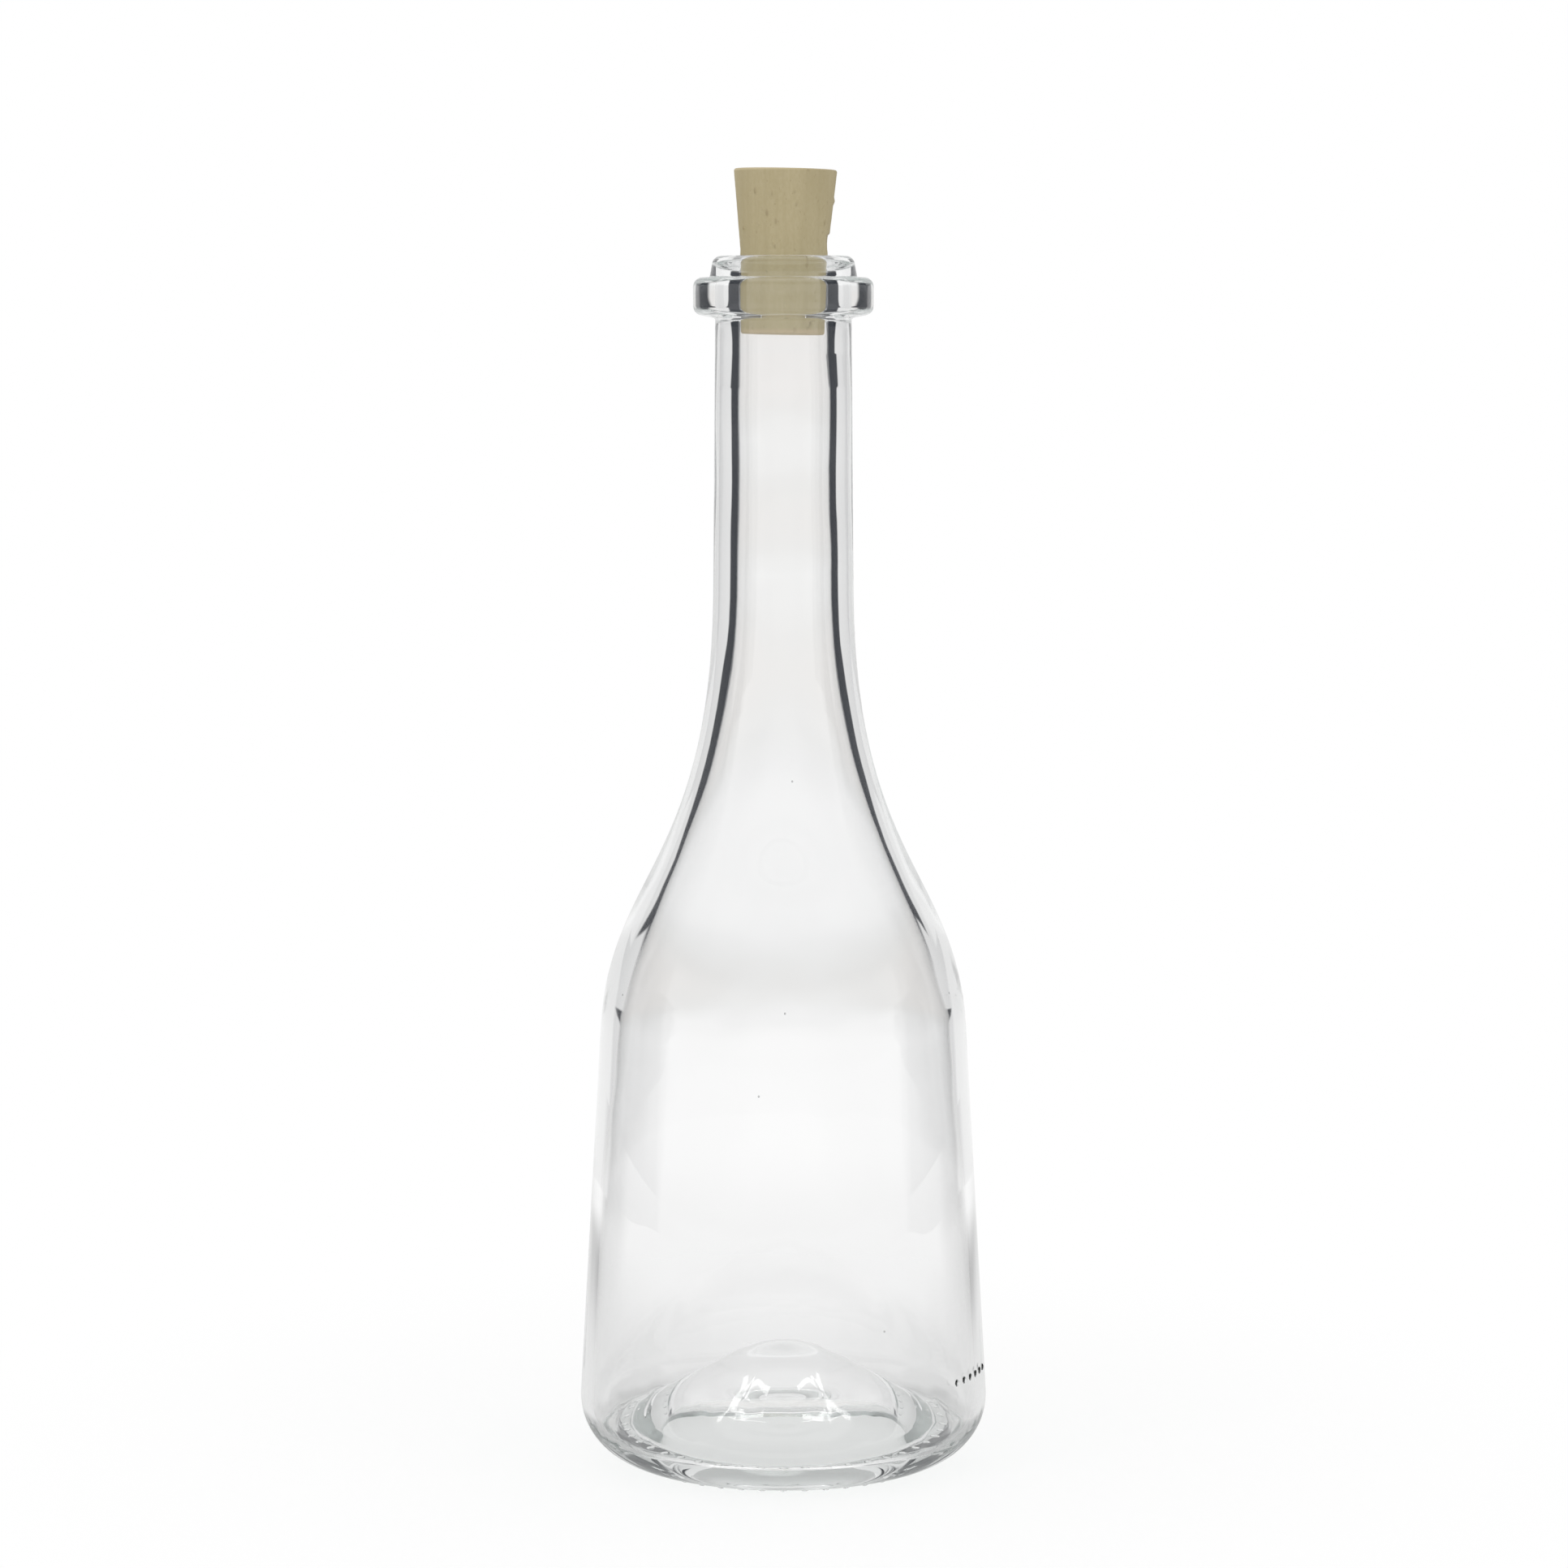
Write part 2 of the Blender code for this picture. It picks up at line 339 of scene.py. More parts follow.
angles = [math.tau * i / floor_sides for i in range(floor_sides)]
rim = [(floor_radius * math.cos(a), floor_radius * math.sin(a), -floor_drop) for a in angles]
floor_mesh = bpy.data.meshes.new("floor")
floor_mesh.from_pydata(rim, [], [tuple(range(floor_sides))])
floor = bpy.data.objects.new("floor", floor_mesh)
scene.collection.objects.link(floor)
floor_material = bpy.data.materials.new("pale_table")
floor_material.use_nodes = True
tree = floor_material.node_tree
tree.nodes.clear()
matt = tree.nodes.new("ShaderNodeBsdfDiffuse")
matt.inputs["Color"].default_value = (0.96, 0.96, 0.96, 1)
glow = tree.nodes.new("ShaderNodeEmission")
path = tree.nodes.new("ShaderNodeLightPath")
place = tree.nodes.new("ShaderNodeTexCoord").outputs["Object"]
distance = tree.nodes.new("ShaderNodeVectorMath")
distance.operation = "LENGTH"
tree.links.new(place, distance.inputs[0])
reach = distance.outputs["Value"]
spot = tree.nodes.new("ShaderNodeSeparateXYZ")
tree.links.new(place, spot.inputs[0])
x, y = spot.outputs["X"], spot.outputs["Y"]
seen = calc(tree, "MAXIMUM", met_glass(tree, path), path.outputs["Is Camera Ray"])
own_light = fade(tree, reach, *own_light_fade)
# What the glass sees of the table: its glow, with shade and light painted in.
glow_with_painted_shade = calc(
    tree, "ADD", fade(tree, reach, *near_painted_shade_fade), fade(tree, reach, *far_painted_light_fade)
)
# A painted shadow on the table round the heel.
foot_shade = calc(tree, "MULTIPLY", window(tree, reach, *ring_shade_window), ring_shade)
# Painted shade to either side, for rays that the glass has mirrored.
painted_side_shade = calc(
    tree, "MULTIPLY",
    fade(tree, calc(tree, "ABSOLUTE", x), *painted_side_shade_fade), fade(tree, reach, *painted_side_shade_end),
)
# Painted shade where the dark gaps run out over the table.
painted_gap_shade = calc(
    tree, "MULTIPLY",
    window(tree, off_back(tree, x, y), dark_from, dark_to, 2 * side_edge),
    fade(tree, reach, *painted_gap_shade_fade),
)
mirrored_painted_shade = calc(tree, "MULTIPLY", painted_side_shade, was_mirrored(tree, path))
for shade in (foot_shade, mirrored_painted_shade, painted_gap_shade):
    glow_with_painted_shade = calc(tree, "SUBTRACT", glow_with_painted_shade, shade)
glow_with_painted_shade = calc(tree, "MAXIMUM", glow_with_painted_shade, least_tint)
glow_with_painted_shade = calc(tree, "MAXIMUM", glow_with_painted_shade, path.outputs["Is Camera Ray"])
tree.links.new(glow_with_painted_shade, glow.inputs["Strength"])
share = tree.nodes.new("ShaderNodeMixShader")
tree.links.new(calc(tree, "MULTIPLY", seen, own_light), share.inputs[0])
tree.links.new(matt.outputs[0], share.inputs[1])
tree.links.new(glow.outputs[0], share.inputs[2])
tree.links.new(share.outputs[0], tree.nodes.new("ShaderNodeOutputMaterial").inputs["Surface"])
floor_mesh.materials.append(floor_material)
print("floor disc:", round(2 * floor_radius, 3), "m across")

# %% [markdown]
# ## The lamps
#
# Two tall soft boxes stand left and right of the camera and give the cork its roundness. They
# are plain area lamps. The glass doesn't see them, because the world has bright bars of its
# own for it, in the places where the bottle shows them.


# %% Hang the lamps
def soft_box(name, place, target, width, height, power):
    """Hang an area lamp at place, turned to face target."""
    data = bpy.data.lights.new(name, "AREA")
    data.shape = "RECTANGLE"
    data.size, data.size_y = width, height
    data.energy = power
    lamp = bpy.data.objects.new(name, data)
    lamp.location = place
    lamp.rotation_euler = (Vector(target) - Vector(place)).to_track_quat("-Z", "Y").to_euler()
    lamp.visible_camera = lamp.visible_glossy = lamp.visible_transmission = False
    scene.collection.objects.link(lamp)


middle = (0, 0, 0.15)
soft_box("left_box", (-0.9, -0.8, 0.9), middle, width=0.35, height=0.8, power=4.0)
soft_box("right_box", (1.0, -0.7, 0.8), middle, width=0.3, height=0.7, power=2.5)

# %% [markdown]
# ## The outline of the glass
#
# A bottle is a turned form: one outline, spun about its axis. Two outlines are needed, because
# the wall is thick and uneven: the mould shapes the outside, and the blown air shapes the
# inside. They repeat the solid's own sizes, only with many more steps, since a lens shows
# every facet. A corner is a radius, a height and a round, and the shoulder is one long cubic.

# %% Sizes of the glass
bottle_height = 252.4 * mm
body_diameter = 85.7 * mm
shoulder_diameter = 76.7 * mm
shoulder_height = 91.8 * mm
neck_foot_diameter = 29.2 * mm
neck_foot_height = 183.0 * mm
neck_top_diameter = 28.2 * mm
shoulder_handle_shares = (0.62, 0.356)
inner_handle_shares = (0.54, 0.2)
inner_sweep_rise = 4 * mm
lip_height = 4.4 * mm
lip_top_diameter = 28.9 * mm
lip_foot_diameter = 30.5 * mm
lip_round = 1.8 * mm
lip_foot_round = 0.4 * mm
collar_diameter = 37.3 * mm
collar_height = 7.4 * mm
collar_round = 1.9 * mm
collar_under_drop = 1.0 * mm
collar_foot_round = 0.6 * mm
mouth_round = 0.8 * mm
bore_diameter = 18.5 * mm
bore_depth = 20.0 * mm
bore_end_length = 7.0 * mm
bore_end_round = 12 * mm
bore_start_length = 6 * mm
neck_end_round = 30 * mm
neck_wall = 4.8 * mm
shoulder_wall = 3.8 * mm
belly_wall = 2.2 * mm
belly_height = 58 * mm
belly_round = 400 * mm
body_wall = 2.2 * mm
heel_round = 13.4 * mm
ring_inner_diameter = 57.0 * mm
ring_inner_round = 1.5 * mm
punt_height = 14.5 * mm
punt_handle_shares = (0.1, 0.55, 0.45)
dome_height = 24.4 * mm
dome_crown = 9.0 * mm
flank_slope_share = 0.505
flank_length = 5.0 * mm
flank_handle_length = 10.5 * mm
flank_bend_round = 150.0 * mm
foot_slope_share = 0.44
foot_length = 5.0 * mm
inner_heel_diameter = 76.6 * mm
inner_heel_height = 7.0 * mm
inner_heel_round = 1.0 * mm
wall_foot_height = 10.3 * mm
wall_foot_round = 10.0 * mm
pad_height = 0.3 * mm
arc_gap = 0.008 * mm
sweep_steps = 30
inner_wall_steps, inner_neck_steps = 8, 14
outer_wall_steps, outer_neck_steps = 20, 10
glass_sides = 304
print("glass:", round(bottle_height, 4), "m high,", round(body_diameter, 4), "m across")


# %% Draw rounded corners and curves
def rounded(corners):
    """Return an outline with an arc in place of each corner (radius, height, round)."""
    points = [Vector((c[0], c[1])) for c in corners]
    turns = [0.0]
    for before, here, after in zip(points, points[1:], points[2:]):
        turns.append((here - before).angle(after - here))
    turns.append(0.0)
    reaches = [c[2] * math.tan(turn / 2) for c, turn in zip(corners, turns)]
    fits = []
    for start, end, reach, next_reach in zip(points, points[1:], reaches, reaches[1:]):
        fits.append((end - start).length / max(reach + next_reach, (end - start).length))
    fits = [fits[0]] + fits + [fits[-1]]
    outline = []
    for i, (point, reach, turn) in enumerate(zip(points, reaches, turns)):
        reach *= min(fits[i], fits[i + 1])
        if not reach:
            outline.append(point)
            continue
        back = (points[i - 1] - point).normalized()
        onward = (points[i + 1] - point).normalized()
        centre = point + (back + onward).normalized() * reach / math.sin(turn / 2)
        spoke = point + back * reach - centre
        side = math.copysign(1.0, back.cross(onward))
        steps = max(4, math.ceil(turn / (2 * math.acos(1 - min(arc_gap / corners[i][2], 1)))))
        for step in range(steps + 1):
            outline.append(centre + Matrix.Rotation(-side * turn * step / steps, 2) @ spoke)
    return outline


def curved(start, start_handle, end_handle, end):
    """Return the points of a cubic curve, without its two ends."""
    inner = []
    for step in range(1, sweep_steps):
        t, s = step / sweep_steps, 1 - step / sweep_steps
        point = start * s**3 + start_handle * 3 * s * s * t
        inner.append(point + end_handle * 3 * s * t * t + end * t**3)
    return inner


def line_between(start, end, steps):
    """Return evenly spaced points between two points, without the ends."""
    return [start.lerp(end, step / steps) for step in range(1, steps)]


# %% Draw the two outlines
collar_top = bottle_height - lip_height
collar_bottom = collar_top - collar_height
body_slope = (body_diameter - shoulder_diameter) / 2 / (shoulder_height - heel_round)
neck_slope = (neck_foot_diameter - neck_top_diameter) / 2 / (collar_bottom - neck_foot_height)


def body_radius(height):
    """Return the radius of the body's outside at a height."""
    return shoulder_diameter / 2 + body_slope * (shoulder_height - height)


def neck_radius(height):
    """Return the radius of the neck's outside at a height."""
    return neck_foot_diameter / 2 - neck_slope * (height - neck_foot_height)


def shoulder_sweep(neck_point, body_point, handles):
    """Return the sweep from the neck down to the body, tangent to both."""
    drop = neck_point.y - body_point.y
    neck_handle = neck_point + Vector((neck_slope, -1)) * drop * handles[0]
    body_handle = body_point + Vector((-body_slope, 1)) * drop * handles[1]
    return curved(neck_point, neck_handle, body_handle, body_point)


def inner_outline():
    """Return the inside, from the top of the dome down, round the heel and up to the bore."""
    top = Vector((0, dome_height))
    foot = Vector((inner_heel_diameter / 2, inner_heel_height))
    bend = foot + Vector((-1, foot_slope_share)) * foot_length
    uphill = Vector((-1, flank_slope_share))
    flank = bend + uphill * flank_length
    crown_handle = top + Vector((dome_crown, 0))
    flank_handle = flank + uphill * flank_handle_length
    dome = [top] + curved(top, crown_handle, flank_handle, flank)
    shoulder_point = Vector((body_radius(shoulder_height) - shoulder_wall, shoulder_height))
    sweep_height = neck_foot_height + inner_sweep_rise
    neck_point = Vector((neck_radius(sweep_height) - neck_wall, sweep_height))
    heel = rounded([
        (flank.x, flank.y, 0),
        (bend.x, bend.y, flank_bend_round),
        (foot.x, foot.y, inner_heel_round),
        (body_radius(wall_foot_height) - body_wall, wall_foot_height, wall_foot_round),
        (body_radius(belly_height) - belly_wall, belly_height, belly_round),
        (shoulder_point.x, shoulder_point.y, 0),
    ])
    wall = line_between(heel[-2], shoulder_point, inner_wall_steps)
    bore_end = bottle_height - bore_depth
    neck_end = bore_end - bore_end_length
    bore = rounded([
        (neck_point.x, neck_point.y, 0),
        (neck_radius(neck_end) - neck_wall, neck_end, neck_end_round),
        (bore_diameter / 2, bore_end, bore_end_round),
        (bore_diameter / 2, bore_end + bore_start_length, 0),
    ])
    neck = [neck_point] + line_between(neck_point, bore[1], inner_neck_steps)
    sweep = shoulder_sweep(neck_point, shoulder_point, inner_handle_shares)[::-1]
    return dome + heel[:-1] + wall + [shoulder_point] + sweep + neck + bore[1:]


def outer_outline():
    """Return the outside, from the mouth down over the lip to the middle of the base."""
    under_collar = collar_bottom - collar_under_drop
    neck_point = Vector((neck_foot_diameter / 2, neck_foot_height))
    shoulder_point = Vector((shoulder_diameter / 2, shoulder_height))
    mouth = rounded([
        (bore_diameter / 2, bottle_height - bore_depth / 2, 0),
        (bore_diameter / 2, bottle_height, mouth_round),
        (lip_top_diameter / 2, bottle_height, lip_round),
        (lip_foot_diameter / 2, collar_top, lip_foot_round),
        (collar_diameter / 2, collar_top, collar_round),
        (collar_diameter / 2, collar_bottom, collar_round),
        (neck_radius(under_collar), under_collar, collar_foot_round),
        (neck_point.x, neck_point.y, 0),
    ])
    neck = line_between(mouth[-2], neck_point, outer_neck_steps) + [neck_point]
    sweep = shoulder_sweep(neck_point, shoulder_point, shoulder_handle_shares)
    edge = Vector((ring_inner_diameter / 2, pad_height))
    top = Vector((0, punt_height))
    rise = punt_height - pad_height
    edge_handle = edge + Vector((-edge.x * punt_handle_shares[0], rise * punt_handle_shares[1]))
    punt = curved(edge, edge_handle, top + Vector((edge.x * punt_handle_shares[2], 0)), top)
    base = rounded([
        (shoulder_point.x, shoulder_point.y, 0),
        (body_radius(pad_height), pad_height, heel_round),
        (edge.x, pad_height, ring_inner_round),
        (punt[3].x, punt[3].y, 0),
    ])
    wall = [shoulder_point] + line_between(shoulder_point, base[1], outer_wall_steps)
    return mouth[:-1] + neck + sweep + wall + base[1:] + punt[4:] + [top]


inside, outside = inner_outline(), outer_outline()
outline = inside + outside
print("outline points:", len(inside), "inside,", len(outside), "outside")


# %% [markdown]
# ## Spin the glass
#
# A Screw modifier would spin the outline too, but the inside of blown glass isn't quite
# round: it has slow waves that make the dark lines of the neck waver. Building the rings in
# code leaves room for that. Every vertex of the inside is pushed in or out by smooth waves
# of a few hundredths of a millimetre, and of 0.15 mm in the neck. The outside, which the
# mould made, stays true.


# %% Spin an outline into a closed shell
def turned(name, outline, sides, shift):
    """Spin an outline whose ends are on the axis. shift(ring, point) says how a vertex moves."""
    vertices = [(0, 0, outline[0].y)]
    for ring, p in enumerate(outline[1:-1], 1):
        for k in range(sides):
            angle = math.tau * k / sides
            point = Vector((p.x * math.cos(angle), p.x * math.sin(angle), p.y))
            vertices.append(point + shift(ring, point))
    vertices.append((0, 0, outline[-1].y))
    last = len(vertices) - 1
    faces = []
    for k in range(sides):
        n = (k + 1) % sides
        faces.append((0, 1 + k, 1 + n))
        faces.append((last, last - sides + n, last - sides + k))
    for ring in range(len(outline) - 3):
        low, high = 1 + ring * sides, 1 + (ring + 1) * sides
        for k in range(sides):
            n = (k + 1) % sides
            faces.append((low + k, high + k, high + n, low + n))
    mesh = bpy.data.meshes.new(name)
    mesh.from_pydata(vertices, [], faces)
    mesh.shade_smooth()
    obj = bpy.data.objects.new(name, mesh)
    scene.collection.objects.link(obj)
    return obj


# The waves of the inside: their size in millimetres, and how often they turn, across and up.
slow_size, slow_pace = 0.10, (38, 42)
quick_size, quick_pace, quick_shift = 0.04, (150, 210), (7, 3, 5)
fine_size, fine_pace, fine_top = 0.03, (420, 900), 16 * mm
belt_size, belt_height, belt_spacing = 0.15, 222 * mm, 34 * mm
# The neck is blown a little to one side, and the mouth and the axis stay true.
neck_stray, neck_stray_foot, neck_stray_length = 0.15 * mm, 150 * mm, 40 * mm
true_mouth_length, true_axis_radius = 6 * mm, 1 * mm


def wave(point, pace, shift=(0, 0, 0)):
    """Return a smooth noise from -1 to 1, which turns at its own pace across and up."""
    across, up = pace
    return noise.noise(Vector((point.x * across, point.y * across, point.z * up)) + Vector(shift))


def blown_wave(ring, point):
    """Return how far the blown inside strays from true at a point."""
    radial = Vector((point.x, point.y, 0))
    below_bore = bottle_height - bore_depth - point.z
    if ring >= len(inside) or below_bore < 0 or radial.length < true_axis_radius:
        return Vector((0, 0, 0))
    near_mouth = min(1, below_bore / true_mouth_length)
    in_neck = max(0, min(1, (point.z - neck_stray_foot) / neck_stray_length))
    slow = slow_size * wave(point, slow_pace)
    quick = quick_size * wave(point, quick_pace, quick_shift)
    belt = belt_size * math.cos(math.tau * (point.z - belt_height) / belt_spacing)
    size = (slow + quick + belt * in_neck) * mm
    if point.z < fine_top:
        size += fine_size * mm * wave(point, fine_pace)
    off_centre = Vector((neck_stray * in_neck, 0, 0))
    return (radial.normalized() * size + off_centre) * near_mouth


glass = turned("glass_shell", outline, glass_sides, blown_wave)
print("glass rings:", len(outline), "faces:", len(glass.data.polygons))

# %% [markdown]
# ## Pads and dots on the glass
#
# The mould leaves small raised marks: a ring of pads that the bottle stands on, and a row of
# dots on the heel that the filling line reads. Each could be pushed out of the shell's own
# faces, but these are far coarser than a pad. Geometry Nodes instead place one small lens
# shape per mark, turned to face outwards, and unite them all with the shell, so that light
# still meets a single skin of glass.


# %% Helpers for Geometry Nodes
def new_tree(name, sizes):
    """Start a geometry tree with named inputs, and return it with its input and output nodes."""
    tree = bpy.data.node_groups.new(name, "GeometryNodeTree")
    tree.interface.new_socket("Geometry", in_out="INPUT", socket_type="NodeSocketGeometry")
    for label, value in sizes.items():
        kind = "NodeSocketInt" if isinstance(value, int) else "NodeSocketFloat"
        tree.interface.new_socket(label, in_out="INPUT", socket_type=kind)
    tree.interface.new_socket("Material", in_out="INPUT", socket_type="NodeSocketMaterial")
    tree.interface.new_socket("Geometry", in_out="OUTPUT", socket_type="NodeSocketGeometry")
    return tree, tree.nodes.new("NodeGroupInput"), tree.nodes.new("NodeGroupOutput")


def step_node(tree, kind, settings=None, **inputs):
    """Add a node, set its settings, and link or set its inputs by name."""
    node = tree.nodes.new(kind)
    for label, value in (settings or {}).items():
        setattr(node, label, value)
    for label, value in inputs.items():
        socket = node.inputs[label.replace("_", " ")]
        if isinstance(value, bpy.types.NodeSocket):
            tree.links.new(value, socket)
        else:
            socket.default_value = value
    return node


def run_tree(obj, tree, sizes, material):
    """Run a tree on an object and leave the result as its plain mesh."""
    modifier = obj.modifiers.new(tree.name, "NODES")
    modifier.node_group = tree
    for item in tree.interface.items_tree:
        if item.in_out == "INPUT" and item.name in sizes:
            modifier[item.identifier] = sizes[item.name]
        if item.in_out == "INPUT" and item.name == "Material":
            modifier[item.identifier] = material
    depsgraph = bpy.context.evaluated_depsgraph_get()
    mesh = bpy.data.meshes.new_from_object(obj.evaluated_get(depsgraph))
    obj.modifiers.clear()
    obj.data = mesh


def around_axis(tree, count, radius, height, first, turn, shape, size):
    """Place count copies of a shape round +Z, each turned to face outwards."""
    index = tree.nodes.new("GeometryNodeInputIndex").outputs[0]
    angle = calc(tree, "ADD", first, calc(tree, "MULTIPLY", index, turn))
    place = step_node(
        tree, "ShaderNodeCombineXYZ",
        X=calc(tree, "MULTIPLY", calc(tree, "COSINE", angle), radius),
        Y=calc(tree, "MULTIPLY", calc(tree, "SINE", angle), radius),
        Z=height,
    )
    points = step_node(tree, "GeometryNodePoints", Count=count, Position=place.outputs[0])
    facing = step_node(tree, "ShaderNodeCombineXYZ", Z=angle)
    copies = step_node(
        tree, "GeometryNodeInstanceOnPoints",
        Points=points.outputs[0], Instance=shape, Rotation=facing.outputs[0], Scale=size,
    )
    return step_node(tree, "GeometryNodeRealizeInstances", Geometry=copies.outputs[0]).outputs[0]


# %% Raise the pads and the dots
dot_height, dot_pitch = 20.8 * mm, 3.15 * mm
relief_sizes = {
    "Pad Count": 44,
    "Pad Ring Radius": 30.8 * mm,
    "Pad Length": 2.3 * mm,
    "Pad Width": 1.9 * mm,
    "Pad Depth": 1.2 * mm,
    "Dot Count": 6,
    "Dot Height": dot_height,
    "Dot Wall Radius": body_radius(dot_height),
    "Dot Proud": 0.35 * mm,
    "Dot Width": 1.5 * mm,
    "Dot Start": math.radians(-32.3),
    "Dot Turn": dot_pitch / body_radius(dot_height),
}
relief, given, result = new_tree("glass_relief", relief_sizes)
size = {name: given.outputs[name] for name in relief_sizes}
sphere = step_node(relief, "GeometryNodeMeshUVSphere", Segments=16, Rings=10, Radius=1.0)
lens_shape = sphere.outputs["Mesh"]
half_depth = calc(relief, "MULTIPLY", size["Pad Depth"], 0.5)
pad_size = step_node(
    relief, "ShaderNodeCombineXYZ",
    X=calc(relief, "MULTIPLY", size["Pad Length"], 0.5),
    Y=calc(relief, "MULTIPLY", size["Pad Width"], 0.5),
    Z=half_depth,
)
pads = around_axis(
    relief, size["Pad Count"], size["Pad Ring Radius"], half_depth, 0.0,
    calc(relief, "DIVIDE", math.tau, size["Pad Count"]), lens_shape, pad_size.outputs[0],
)
dot_half = calc(relief, "MULTIPLY", size["Dot Width"], 0.5)
dot_size = step_node(relief, "ShaderNodeCombineXYZ", X=size["Dot Proud"], Y=dot_half, Z=dot_half)
dots = around_axis(
    relief, size["Dot Count"], size["Dot Wall Radius"], size["Dot Height"], size["Dot Start"],
    size["Dot Turn"], lens_shape, dot_size.outputs[0],
)
unite = relief.nodes.new("GeometryNodeMeshBoolean")
unite.operation, unite.solver = "UNION", "EXACT"
for part in (given.outputs["Geometry"], pads, dots):
    relief.links.new(part, unite.inputs["Mesh 2"])
whole = step_node(relief, "GeometryNodeRealizeInstances", Geometry=unite.outputs["Mesh"])
finish = step_node(
    relief, "GeometryNodeSetMaterial",
    Geometry=whole.outputs[0], Material=given.outputs["Material"],
)
relief.links.new(finish.outputs[0], result.inputs["Geometry"])
print("relief nodes:", len(relief.nodes))

# %% [markdown]
# ## The glass itself
#
# Clear glass has a faint grey-green in it, which shows only where light goes a long way
# through, as in the neck and the base. A tint on the surface would colour thin and thick
# places alike, so the colour sits in the volume, where it grows with the way that light
# goes. Solid glass would also throw a black shadow, because Cycles finds no lamp through it.
# So shadow rays and matt rays pass straight through, a little dimmed.

# %% Mix the glass
glass_index = 1.52
glass_density, glass_tint = 2.0, (0.5, 0.60, 0.575, 1)
shadow_tint = (0.95, 0.96, 0.955, 1)


def clear_glass():
    """Return the glass, which lets the light of lamps and of the world straight through."""
    material = bpy.data.materials.new("clear_glass")
    material.use_nodes = True
    tree = material.node_tree
    shader = tree.nodes["Principled BSDF"]
    shader.inputs["Base Color"].default_value = (1, 1, 1, 1)
    shader.inputs["Transmission Weight"].default_value = 1.0
    shader.inputs["Roughness"].default_value = 0.0
    shader.inputs["IOR"].default_value = glass_index
    output = tree.nodes["Material Output"]
    absorb = step_node(
        tree, "ShaderNodeVolumeAbsorption", Color=glass_tint, Density=glass_density
    )
    tree.links.new(absorb.outputs[0], output.inputs["Volume"])
    through = step_node(tree, "ShaderNodeBsdfTransparent", Color=shadow_tint)
    path = tree.nodes.new("ShaderNodeLightPath")
    lamps = calc(tree, "MAXIMUM", path.outputs["Is Shadow Ray"], path.outputs["Is Diffuse Ray"])
    mix = tree.nodes.new("ShaderNodeMixShader")
    tree.links.new(lamps, mix.inputs[0])
    tree.links.new(shader.outputs[0], mix.inputs[1])
    tree.links.new(through.outputs[0], mix.inputs[2])
    tree.links.new(mix.outputs[0], output.inputs["Surface"])
    return material


glass_material = clear_glass()
print("nodes in the glass:", len(glass_material.node_tree.nodes))
run_tree(glass, relief, relief_sizes, glass_material)

# %% [markdown]
# ## Bubbles in the wall
#
# Melted glass keeps a few tiny bubbles, which the blowing draws out upwards. Each is a hollow
# in the wall, so it is a small ball whose faces look inwards, away from the glass. There are
# only a handful, and each has its own place, so a list says more than a scatter would.

# %% Trap the bubbles
bubble_radius, bubble_depth, bubble_stretch = 0.18 * mm, 1.0 * mm, 1.4
sharp_from = math.radians(28)
bubble_places = (
    (math.radians(-154), 100.7 * mm),
    (math.radians(-89.5), 100.0 * mm),
    (math.radians(-97.5), 83.3 * mm),
    (math.radians(-12.5), 100.7 * mm),
    (math.radians(-6), 99.5 * mm),
    (math.radians(-84.5), 145.2 * mm),
    (math.radians(-60), 34.5 * mm),
)


def outer_radius(height):
    """Return the radius of the outside at a height between the heel and the collar."""
    for above, below in zip(outside[1:], outside[2:]):
        if below.y <= height < above.y:
            return below.x + (above.x - below.x) * (height - below.y) / (above.y - below.y)


bm = bmesh.new()
bm.from_mesh(glass.data)
for angle, height in bubble_places:
    reach = outer_radius(height) - bubble_depth
    place = Matrix.Translation((reach * math.cos(angle), reach * math.sin(angle), height))
    drawn_out = place @ Matrix.Diagonal((1, 1, bubble_stretch, 1))
    ball = bmesh.ops.create_icosphere(
        bm, subdivisions=2, radius=bubble_radius, matrix=drawn_out
    )
    bmesh.ops.reverse_faces(bm, faces=list({face for v in ball["verts"] for face in v.link_faces}))
bm.to_mesh(glass.data)
bm.free()
glass.data.shade_smooth()
glass.data.set_sharp_from_angle(angle=sharp_from)
print("glass triangles:", sum(len(p.vertices) - 2 for p in glass.data.polygons))

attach(glass, "bottle")
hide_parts("glass_bottle")

# %% [markdown]
# ## The cork
#
# The stopper is punched from bark and tapered, and it leans a degree to the right in the
# mouth, as a cork pushed in by hand does. Its side is cut smooth, apart from a few scars that
# are placed one by one: a chip on the right edge, a nick in the top rim and a crack near the
# bottom. A texture could paint them, but the chip changes the outline, so the mesh is dense
# enough to dent. The scars are also stored as an attribute, which paints shade into them.

# %% Sizes of the cork
cork_length = 33.7 * mm
cork_inserted = 15.75 * mm
cork_top_diameter = 21.4 * mm
cork_bottom_diameter = 17.3 * mm
cork_clearance = 0.2 * mm
cork_squeeze_height = 1.5 * mm
cork_edge_round = 0.5 * mm
cork_bottom = bottle_height - cork_inserted
cork_top = cork_bottom + cork_length
cork_lean, cork_shift = math.radians(1.1), -0.2 * mm
cork_sides, cork_step = 320, 0.2 * mm
